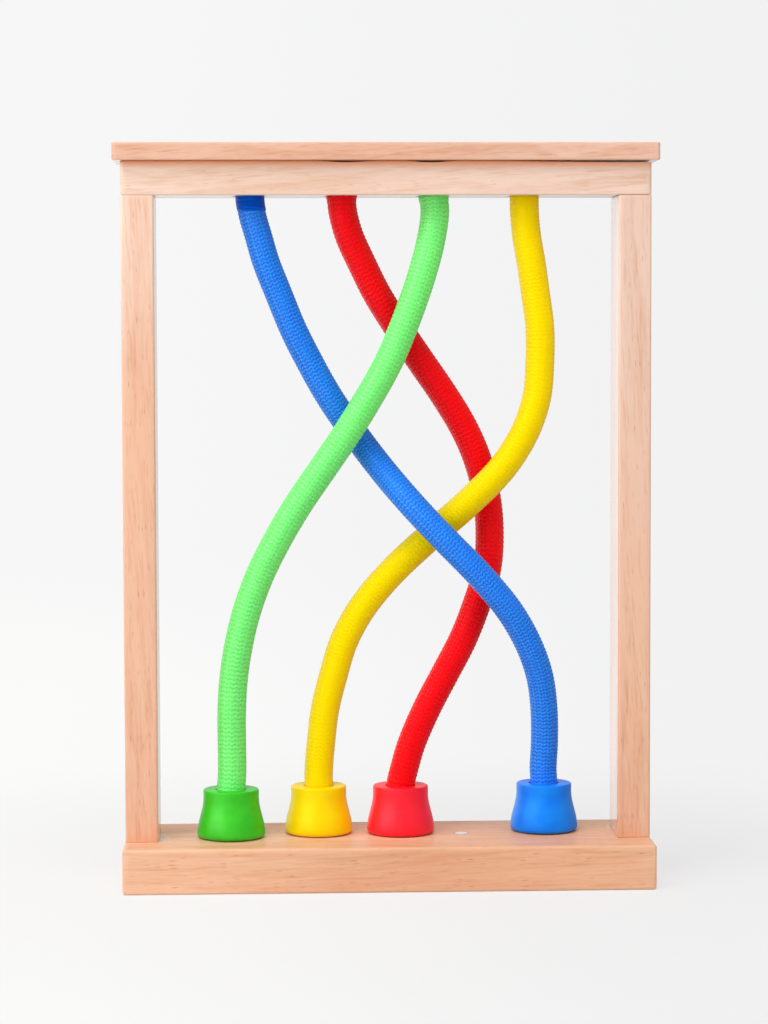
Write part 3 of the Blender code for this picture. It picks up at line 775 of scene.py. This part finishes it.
def girth_at(colour, distance, film_end):
    """Half thickness of a rope: squeezed by its film, and swollen where it leaves the rail."""
    free = min(max((distance - film_end) / MOUTH_REACH, 0.0), 1.0)
    girth = SQUEEZED_GIRTH + (ROPE_GIRTH[colour] - SQUEEZED_GIRTH) * free * free * (3 - 2 * free)
    return girth + MOUTH_SWELL[colour] * math.sin(math.pi * free) ** 2


def braided_tube(colour, line):
    """A rope's cover. Its rows zigzag round the rope, and each yarn swells where it lies on top."""
    film_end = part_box(colour + "_rope")[1].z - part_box(colour + "_end_wrap")[0].z
    around = BRAID_COLUMNS * COLUMN_STEPS
    rows = round(line.length / ROW_PITCH[colour])
    along = rows * ROW_STEPS
    bm = tube_grid(around, along)
    groove = bm.verts.layers.float.new("groove")
    for vert in bm.verts:
        step_round = round((vert.co.x + 0.5) * around)
        step_along = round((vert.co.y + 0.5) * along)
        zigzag = abs(step_round / COLUMN_STEPS % 2 - 1) - 0.5
        from_end = min(step_along, along - step_along) / ROW_STEPS
        distance = line.length * step_along / along + BRAID_RISE * zigzag * min(from_end, 1.0)
        across_yarn = math.sin(math.pi * (step_along % ROW_STEPS) / ROW_STEPS)
        along_yarn = math.sin(math.pi * (step_round % COLUMN_STEPS) / COLUMN_STEPS)
        swell = across_yarn ** YARN_FULLNESS * (1 - COLUMN_DIP + COLUMN_DIP * along_yarn)
        # This groove mark later paints shade into the braid's grooves.
        vert[groove] = 1 - swell
        angle = 2 * math.pi * step_round / around
        slack = noise.noise((2 * math.cos(angle), 2 * math.sin(angle), distance / SLACK_WAVE))
        dip = YARN_RELIEF[colour] * (1 + 2 * SLACK_RELIEF * slack) * (1 - swell)
        vert.co = line.beside(distance, angle, girth_at(colour, distance, film_end) - dip)
    close_tube(bm, capped=True)
    return bm, rows


def yarn_group():
    """Dyed yarn streaked by its filaments, no two yarns quite alike, with painted shade in its grooves and
    painted sheen on alternate columns.
    """
    tree, given, made = new_group(
        "braided_yarn",
        (("Rolled", "Vector"), ("Rows", "Float"), ("Groove", "Float"), ("Light", "Color"),
         ("Shade", "Color")),
        (("Colour", "Color"), ("Roughness", "Float"), ("Height", "Float")),
    )
    counts = tree.nodes.new("ShaderNodeCombineXYZ")
    counts.inputs["X"].default_value = BRAID_COLUMNS
    tree.links.new(given.outputs["Rows"], counts.inputs["Y"])
    place = vector_of(tree, "MULTIPLY", given.outputs["Rolled"], counts.outputs["Vector"])
    each = tree.nodes.new("ShaderNodeTexWhiteNoise")
    each.noise_dimensions = "2D"
    tree.links.new(vector_of(tree, "FLOOR", place), each.inputs["Vector"])
    axes = axes_of(tree, place)
    strand = sum_of(tree, "SINE", sum_of(tree, "MULTIPLY", axes["Y"], 2 * math.pi * FILAMENTS))
    fuzz = speckle(tree, place, FUZZ_WAVES, detail=3.0, roughness=0.7).outputs["Fac"]

    # Painted shade: the yarn is darker in the braid's grooves.
    depth = fade(tree, given.outputs["Groove"], *GROOVE_SHADE_SPAN)
    depth = sum_of(tree, "ADD", depth, sum_of(tree, "MULTIPLY_ADD", fuzz, *FUZZ_DEPTH))
    depth = sum_of(tree, "ADD", depth, sum_of(tree, "MULTIPLY_ADD", each.outputs["Value"], *YARN_DEPTH))
    # Painted sheen: alternate columns of yarns are painted darker or lighter by the way they lean.
    sheen_columns = sum_of(tree, "FLOORED_MODULO", sum_of(tree, "FLOOR", axes["X"]), 2.0)
    depth = sum_of(tree, "ADD", depth, sum_of(tree, "MULTIPLY_ADD", sheen_columns, *LEAN_PAINTED_SHEEN), clamp=True)
    colour = tint(tree, depth, given.outputs["Light"], given.outputs["Shade"])
    tree.links.new(colour, made.inputs["Colour"])
    tree.links.new(sum_of(tree, "MULTIPLY_ADD", depth, *YARN_ROUGHNESS), made.inputs["Roughness"])
    height = sum_of(tree, "MULTIPLY_ADD", strand, FILAMENT_HEIGHT, fuzz)
    tree.links.new(height, made.inputs["Height"])
    return tree


braided_yarn = yarn_group()


def yarn_finish(colour, rows):
    """A rope's cover, as glossy and as fuzzy as its own yarn."""
    material, tree, shader = new_finish(colour + "_yarn")
    rolled = tree.nodes.new("ShaderNodeUVMap")
    rolled.uv_map = "rolled"
    groove = tree.nodes.new("ShaderNodeAttribute")
    groove.attribute_name = "groove"
    yarn = tree.nodes.new("ShaderNodeGroup")
    yarn.node_tree = braided_yarn
    yarn.inputs["Rows"].default_value = rows
    yarn.inputs["Light"].default_value = paint(*YARN_LIGHT[colour])
    yarn.inputs["Shade"].default_value = paint(*YARN_SHADE_PAINT_AND_TONE[colour])
    tree.links.new(rolled.outputs["UV"], yarn.inputs["Rolled"])
    tree.links.new(groove.outputs["Fac"], yarn.inputs["Groove"])
    tree.links.new(yarn.outputs["Colour"], shader.inputs["Base Color"])
    tree.links.new(yarn.outputs["Roughness"], shader.inputs["Roughness"])
    shader.inputs["Specular Tint"].default_value = paint(*YARN_SHEEN[colour])
    shader.inputs["Specular IOR Level"].default_value = YARN_SHINE[colour]
    shader.inputs["Sheen Weight"].default_value = YARN_FUZZ[colour]
    shader.inputs["Sheen Roughness"].default_value = FUZZ_ROUGHNESS
    shader.inputs["Sheen Tint"].default_value = paint(*YARN_RIM[colour])
    relief(tree, shader, yarn.outputs["Height"], FILAMENT_RELIEF)
    return material


rope_lines = {colour: Line(rope_line(colour)) for colour in ROPE_COLOURS}
ropes = {}
for colour in ROPE_COLOURS:
    cover, rows = braided_tube(colour, rope_lines[colour])
    ropes[colour] = mesh_piece(colour + "_rope_braid", cover, yarn_finish(colour, rows), creased=False)
    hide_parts(colour + "_rope")

# End wraps
# Thin film shrunk round each rope's cut end, so that the braid can't fray inside its collar.
# The blue one is longer than its hole, and a slanting dark band of it shows under the rail.
FILM_LIGHT = {"blue": (14, 98, 226), "red": (150, 0, 8), "green": (40, 150, 50), "yellow": (210, 150, 0)}
FILM_SHADE = {"blue": (2, 66, 178), "red": (104, 0, 6), "green": (24, 108, 36), "yellow": (168, 116, 0)}
FILM_RADIUS = 0.0066
FILM_WALL = 0.0003
FILM_SHOWING = 0.0066
FILM_SLANT = 0.0012
FILM_AROUND = 72
FILM_ALONG = 28
FILM_PUCKER = 0.00007
FILM_LIP = 0.0007
FILM_DRAWN_IN = 0.6
FILM_WAVES = (120.0, 120.0, 2200.0)
FOLD_SPAN = (0.3, 0.7)
FILM_ROUGHNESS = (0.25, 0.32)
FILM_RELIEF = 0.00012
PUCKERS_ROUND = 5
PUCKER_TWIST = 9
PUCKERS_ALONG = 14


def film_finish(colour):
    """Shrunk film: nearly smooth, with soft puckers round it."""
    material, tree, shader = new_finish(colour + "_film")
    place = object_place(tree)
    folds = speckle(tree, place, FILM_WAVES, detail=3.0).outputs["Fac"]
    shades = paint(*FILM_LIGHT[colour]), paint(*FILM_SHADE[colour])
    tree.links.new(tint(tree, fade(tree, folds, *FOLD_SPAN), *shades), shader.inputs["Base Color"])
    tree.links.new(sum_of(tree, "MULTIPLY_ADD", folds, *FILM_ROUGHNESS), shader.inputs["Roughness"])
    shader.inputs["Specular Tint"].default_value = paint(*FILM_LIGHT[colour])
    relief(tree, shader, folds, FILM_RELIEF)
    return material


def shrunk_film(line):
    """A sleeve on the rope's upper end that puckers a little and draws in at its slanting lower edge."""
    bm = tube_grid(FILM_AROUND, FILM_ALONG)
    lower_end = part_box("blue_rope")[1].z - rail_low.z + FILM_SHOWING
    for vert in bm.verts:
        share = vert.co.y + 0.5
        angle = 2 * math.pi * (vert.co.x + 0.5)
        distance = share * (lower_end + FILM_SLANT * math.cos(angle))
        to_edge = max(0.0, 1 - (1 - share) * lower_end / FILM_LIP)
        pucker = FILM_PUCKER * math.sin(PUCKERS_ROUND * angle + PUCKER_TWIST * share)
        pucker *= math.sin(PUCKERS_ALONG * share) * (1 - to_edge)
        radius = FILM_RADIUS - FILM_WALL * FILM_DRAWN_IN * to_edge ** 2 + pucker
        vert.co = line.beside(distance, angle, radius)
    close_tube(bm, capped=False)
    return bm


for colour in ROPE_COLOURS:
    dress(colour + "_end_wrap", film_finish(colour))
blue_film = mesh_piece("blue_end_wrap_film", shrunk_film(rope_lines["blue"]), film_finish("blue"))
film_wall = blue_film.modifiers.new("wall", "SOLIDIFY")
film_wall.thickness = FILM_WALL
film_wall.offset = -1.0
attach(blue_film, "frame")
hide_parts("blue_end_wrap")

# The ropes: each leaves the rail at its hole, hangs, and goes back into the toy at its cup. Their
# placement is baked into their meshes.
for colour in ROPE_COLOURS:
    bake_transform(ropes[colour])

# Cap board
# A thinner beech board that covers the rail and the collars, a little wider than both all round.
# It is dowelled and glued down, and a hairline of shadow shows where it doesn't quite close.
# Lacquer has run thick under its two overhanging ends.
CAP_CORNER = 0.0018
CAP_EASING = 0.0007
CAP_LACQUER = 0.2
CAP_PALE = ((235, 188, 162), (239, 199, 177))
CAP_WARM = ((215, 155, 123), (219, 166, 138))
CAP_FADE = (0.0, 0.06)
CAP_PITH = (1.49, 0.058, -0.286)
CAP_SLOPE = 0.08

cap_low, cap_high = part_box("cap_board")
cap_finish = beech_finish(
    "beech_cap", "X", CAP_SLOPE, CAP_PITH, CAP_PALE, CAP_WARM, CAP_FADE, CAP_LACQUER, FAINT_FLECK)
cap_tree = cap_finish.node_tree
cap_shader = cap_tree.nodes["Principled BSDF"]
cap_axes = axes_of(cap_tree, object_place(cap_tree))
cap_below = fade(cap_tree, cap_axes["Z"], cap_low.z, cap_low.z + CAP_EASING, 1.0, 0.0)
cap_out = sum_of(cap_tree, "ABSOLUTE", cap_axes["X"])
cap_past = fade(cap_tree, cap_out, rail_high.x - CAP_EASING, rail_high.x)
cap_gloss = sum_of(cap_tree, "MULTIPLY", cap_below, cap_past)
cap_coat = sum_of(cap_tree, "MULTIPLY_ADD", cap_gloss, 1.0 - CAP_LACQUER, CAP_LACQUER)
cap_tree.links.new(cap_coat, cap_shader.inputs["Coat Weight"])
cap = mesh_piece("cap_board_beech", eased_board(cap_low, cap_high, CAP_CORNER, CAP_EASING), cap_finish)
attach(cap, "frame")
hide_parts("cap_board")

# Cups
# Bell-shaped cups moulded in satin plastic, each bored from above for its rope.
# A magnet pressed into the foot holds the cup to a spot on the base.
CUP_TOP_RADIUS = 0.01275
CUP_LIP = 0.0007
CUP_FOOT_ROUNDING = 0.0018
CUP_BORE_RADIUS = 0.0069
CUP_BORE_RIM = 0.0003
CUP_BORE_DEPTH = 0.0135
CUP_FLARE_TOP = 0.18
CUP_FLARE_FOOT = 0.92
CUP_FLARE_STEPS = 20
CUP_ARC_STEPS = 6
CUP_TURN_STEPS = 96
CUP_LIGHT = {"blue": (14, 136, 255), "red": (255, 28, 50), "green": (52, 205, 32), "yellow": (255, 222, 0)}
CUP_SHADE = {"blue": (4, 122, 254), "red": (255, 20, 42), "green": (40, 191, 22), "yellow": (255, 214, 0)}
CUP_SHEEN = {
    "blue": (120, 210, 255), "red": (255, 160, 170), "green": (190, 255, 170), "yellow": (255, 236, 90)}
CUP_SHINE = 1.0
MOTTLE_WAVES = (90.0, 90.0, 140.0)
MOTTLE_SPAN = (0.3, 0.7)
MOTTLE_ROUGHNESS = (0.06, 0.32)
SKIN_WAVES = (2600.0, 2600.0, 2600.0)
SKIN_ROUGHNESS = 0.08
SKIN_RELIEF = 0.000012


def arc(centre, radius, start, end):
    """Points of a round stretch of an outline, with its angles measured from the outward side."""
    angles = [start + (end - start) * i / CUP_ARC_STEPS for i in range(CUP_ARC_STEPS + 1)]
    return [(centre[0] + radius * math.cos(a), centre[1] + radius * math.sin(a)) for a in angles]


def cup_outline(height, foot_radius, pocket_radius, pocket_top):
    """Half outline of a cup, from its bore over the lip and down the flare to the magnet's pocket."""
    bore_floor = height - CUP_BORE_DEPTH
    outline = [
        (0.0, bore_floor),
        (CUP_BORE_RADIUS, bore_floor),
        (CUP_BORE_RADIUS, height - CUP_BORE_RIM),
        (CUP_BORE_RADIUS + CUP_BORE_RIM, height),
    ]
    outline += arc((CUP_TOP_RADIUS - CUP_LIP, height - CUP_LIP), CUP_LIP, math.pi / 2, 0.0)
    for i in range(CUP_FLARE_STEPS):
        ease = i / CUP_FLARE_STEPS
        share = CUP_FLARE_TOP + (CUP_FLARE_FOOT - CUP_FLARE_TOP) * ease
        radius = CUP_TOP_RADIUS + (foot_radius - CUP_TOP_RADIUS) * ease * ease * (3 - 2 * ease)
        outline.append((radius, height * (1 - share)))
    foot_centre = (foot_radius - CUP_FOOT_ROUNDING, CUP_FOOT_ROUNDING)
    outline += arc(foot_centre, CUP_FOOT_ROUNDING, 0.0, -math.pi / 2)
    return outline + [(pocket_radius, 0.0), (pocket_radius, pocket_top), (0.0, pocket_top)]


def satin_finish(colour):
    """Dyed plastic from a fine-blasted mould, faintly mottled, with a soft shine."""
    material, tree, shader = new_finish(colour + "_satin")
    place = object_place(tree)
    mottle = speckle(tree, place, MOTTLE_WAVES).outputs["Fac"]
    skin = speckle(tree, place, SKIN_WAVES).outputs["Fac"]
    shades = paint(*CUP_LIGHT[colour]), paint(*CUP_SHADE[colour])
    tree.links.new(tint(tree, fade(tree, mottle, *MOTTLE_SPAN), *shades), shader.inputs["Base Color"])
    rough = sum_of(tree, "MULTIPLY_ADD", mottle, *MOTTLE_ROUGHNESS)
    rough = sum_of(tree, "MULTIPLY_ADD", skin, SKIN_ROUGHNESS, rough)
    tree.links.new(rough, shader.inputs["Roughness"])
    shader.inputs["Specular IOR Level"].default_value = CUP_SHINE
    shader.inputs["Specular Tint"].default_value = paint(*CUP_SHEEN[colour])
    relief(tree, shader, skin, SKIN_RELIEF)
    return material


for colour in ROPE_COLOURS:
    cup_low, cup_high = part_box(colour + "_cup")
    disc_low, disc_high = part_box(colour + "_cup_magnet")
    outline = cup_outline(
        cup_high.z - cup_low.z,
        (cup_high.x - cup_low.x) / 2,
        (disc_high.x - disc_low.x) / 2 + POCKET_CLEARANCE,
        disc_high.z - disc_low.z + POCKET_CLEARANCE,
    )
    foot = middle(colour + "_cup")
    foot.z = cup_low.z
    bell = bmesh.new()
    turned_shape(bell, outline, foot, CUP_TURN_STEPS)
    bmesh.ops.recalc_face_normals(bell, faces=bell.faces)
    cup = mesh_piece(colour + "_cup_bell", bell, satin_finish(colour))
    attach(cup, colour + "_end")
    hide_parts(colour + "_cup")
    dress(colour + "_cup_magnet", nickel)

# Table and background
# A plain pale sheet that keeps the toy's soft shadow and fades into the bright background.
# It is clear from below and under the base, so that the toy's underside can be looked at.
FLOOR_SIZE = 12.0
FLOOR_SEEN = (233, 232, 230)
FLOOR_BOUNCE = (222, 221, 220)
SHADOW_REACH = (0.15, 0.42)
GLOW_THROUGH = 0.75
OPEN_MARGIN = 0.0015

floor_bm = bmesh.new()
bmesh.ops.create_grid(floor_bm, x_segments=1, y_segments=1, size=FLOOR_SIZE / 2)
floor_finish, floor_tree, floor_shader = new_finish("pale_sheet", roughness=0.9)
floor_path = floor_tree.nodes.new("ShaderNodeLightPath")
floor_shades = paint(*FLOOR_BOUNCE), paint(*FLOOR_SEEN)
floor_colour = tint(floor_tree, floor_path.outputs["Is Camera Ray"], *floor_shades)
floor_tree.links.new(floor_colour, floor_shader.inputs["Base Color"])
floor_place = object_place(floor_tree)
floor_far = fade(floor_tree, vector_of(floor_tree, "LENGTH", floor_place), *SHADOW_REACH, GLOW_THROUGH)
floor_clear = floor_tree.nodes.new("ShaderNodeBsdfTransparent")
floor_looked_at = floor_path.outputs["Is Camera Ray"], floor_path.outputs["Is Glossy Ray"]
floor_unseen = sum_of(floor_tree, "MAXIMUM", *floor_looked_at)
floor_unseen = sum_of(floor_tree, "MULTIPLY", floor_unseen, floor_far)
floor_side = floor_tree.nodes.new("ShaderNodeNewGeometry").outputs["Backfacing"]
floor_unseen = sum_of(floor_tree, "MAXIMUM", floor_unseen, floor_side)
floor_axes = axes_of(floor_tree, floor_place)
floor_within = []
for axis, reach in (("X", base_high.x), ("Y", base_high.y)):
    off = sum_of(floor_tree, "ABSOLUTE", floor_axes[axis])
    floor_within.append(sum_of(floor_tree, "LESS_THAN", off, reach - OPEN_MARGIN))
floor_inside = sum_of(floor_tree, "MULTIPLY", *floor_within)
floor_unseen = sum_of(floor_tree, "MAXIMUM", floor_unseen, floor_inside)
floor_mix = floor_tree.nodes.new("ShaderNodeMixShader")
floor_tree.links.new(floor_unseen, floor_mix.inputs["Fac"])
floor_tree.links.new(floor_shader.outputs["BSDF"], floor_mix.inputs[1])
floor_tree.links.new(floor_clear.outputs["BSDF"], floor_mix.inputs[2])
floor_tree.links.new(floor_mix.outputs["Shader"], floor_tree.nodes["Material Output"].inputs["Surface"])
floor = mesh_piece("floor", floor_bm, floor_finish)

# Light
# A big soft lamp at the left in front, one high above, a weak one at the right, and an even pale sky.
# The background is a little brighter on the left, most of all low down. Its mirror image is much brighter
# on the left than on the right, and only the left lamp leaves one of its own.
SKY_LIGHT = 0.38
SKY_LEFT = (247, 247, 247)
SKY_LOW_LEFT = (251, 251, 250)
SKY_RIGHT = (242, 242, 243)
SKY_SPAN = (-0.10, 0.16)
SKY_LOW_SPAN = (-0.07, -0.13)
SKY_SHINE = {"span": (-0.5, 0.5), "left": 1.4, "right": 0.5}
LAMPS = {
    "key_lamp": {"place": (-1.6, -1.12, 1.4), "size": 2.2, "power": 31.6, "mirrored": True},
    "fill_lamp": {"place": (1.3, -1.5, 1.1), "size": 1.6, "power": 7.8, "mirrored": False},
    "top_lamp": {"place": (-0.19, -0.88, 2.19), "size": 1.0, "power": 20.0, "mirrored": False},
}
LAMP_AIM = Vector((0.0, 0.0, 0.18))

world = bpy.data.worlds.new("pale_sky")
world.use_nodes = True
bpy.context.scene.world = world
sky = world.node_tree
sky_light = sky.nodes["Background"]
sky_light.inputs["Color"].default_value = (1.0, 1.0, 1.0, 1.0)
sky_light.inputs["Strength"].default_value = SKY_LIGHT
sky_axes = axes_of(sky, sky.nodes.new("ShaderNodeTexCoord").outputs["Generated"])
sky_side = fade(sky, sky_axes["X"], *SKY_SPAN)
sky_low = fade(sky, sky_axes["Z"], *SKY_LOW_SPAN)
sky_left = tint(sky, sky_low, paint(*SKY_LEFT), paint(*SKY_LOW_LEFT))
sky_seen = sky.nodes.new("ShaderNodeBackground")
sky.links.new(tint(sky, sky_side, sky_left, paint(*SKY_RIGHT)), sky_seen.inputs["Color"])
sky_path = sky.nodes.new("ShaderNodeLightPath")
sky_shine = fade(sky, sky_axes["X"], *SKY_SHINE["span"], SKY_SHINE["left"], SKY_SHINE["right"])
sky_extra = sum_of(sky, "SUBTRACT", sky_shine, 1.0)
sky_level = sum_of(sky, "MULTIPLY_ADD", sky_path.outputs["Is Glossy Ray"], sky_extra, 1.0)
sky.links.new(sky_level, sky_seen.inputs["Strength"])
sky_share = sum_of(sky, "MAXIMUM", sky_path.outputs["Is Camera Ray"], sky_path.outputs["Is Glossy Ray"])
sky_share = sum_of(sky, "MAXIMUM", sky_share, sky_path.outputs["Is Transmission Ray"])
sky_mix = sky.nodes.new("ShaderNodeMixShader")
sky.links.new(sky_share, sky_mix.inputs["Fac"])
sky.links.new(sky_light.outputs["Background"], sky_mix.inputs[1])
sky.links.new(sky_seen.outputs["Background"], sky_mix.inputs[2])
sky.links.new(sky_mix.outputs["Shader"], sky.nodes["World Output"].inputs["Surface"])

for name, lamp in LAMPS.items():
    light = bpy.data.lights.new(name, "AREA")
    light.size = lamp["size"]
    light.energy = lamp["power"]
    holder = bpy.data.objects.new(name, light)
    holder.location = lamp["place"]
    holder.rotation_euler = (LAMP_AIM - holder.location).to_track_quat("-Z", "Y").to_euler()
    holder.visible_glossy = lamp["mirrored"]
    bpy.context.scene.collection.objects.link(holder)

# Camera
# A long lens a little above the middle of the toy and left of it.
# It is turned slightly right and down.
CAMERA_PLACE = (-0.05245, -1.2821, 0.24945)
CAMERA_TURN = 0.0402
CAMERA_DIP = 0.0620
CAMERA_ROLL = 0.0030
FOCAL_PIXELS = 2800
IMAGE_HEIGHT = 1024
SENSOR = 36.0

lens = bpy.data.cameras.new("camera")
lens.sensor_width = SENSOR
lens.lens = FOCAL_PIXELS / IMAGE_HEIGHT * SENSOR
camera = bpy.data.objects.new("camera", lens)
camera.location = CAMERA_PLACE
camera.rotation_euler = (math.pi / 2 - CAMERA_DIP, CAMERA_ROLL, -CAMERA_TURN)
bpy.context.scene.collection.objects.link(camera)
bpy.context.scene.camera = camera
bpy.context.scene.view_settings.view_transform = "Standard"
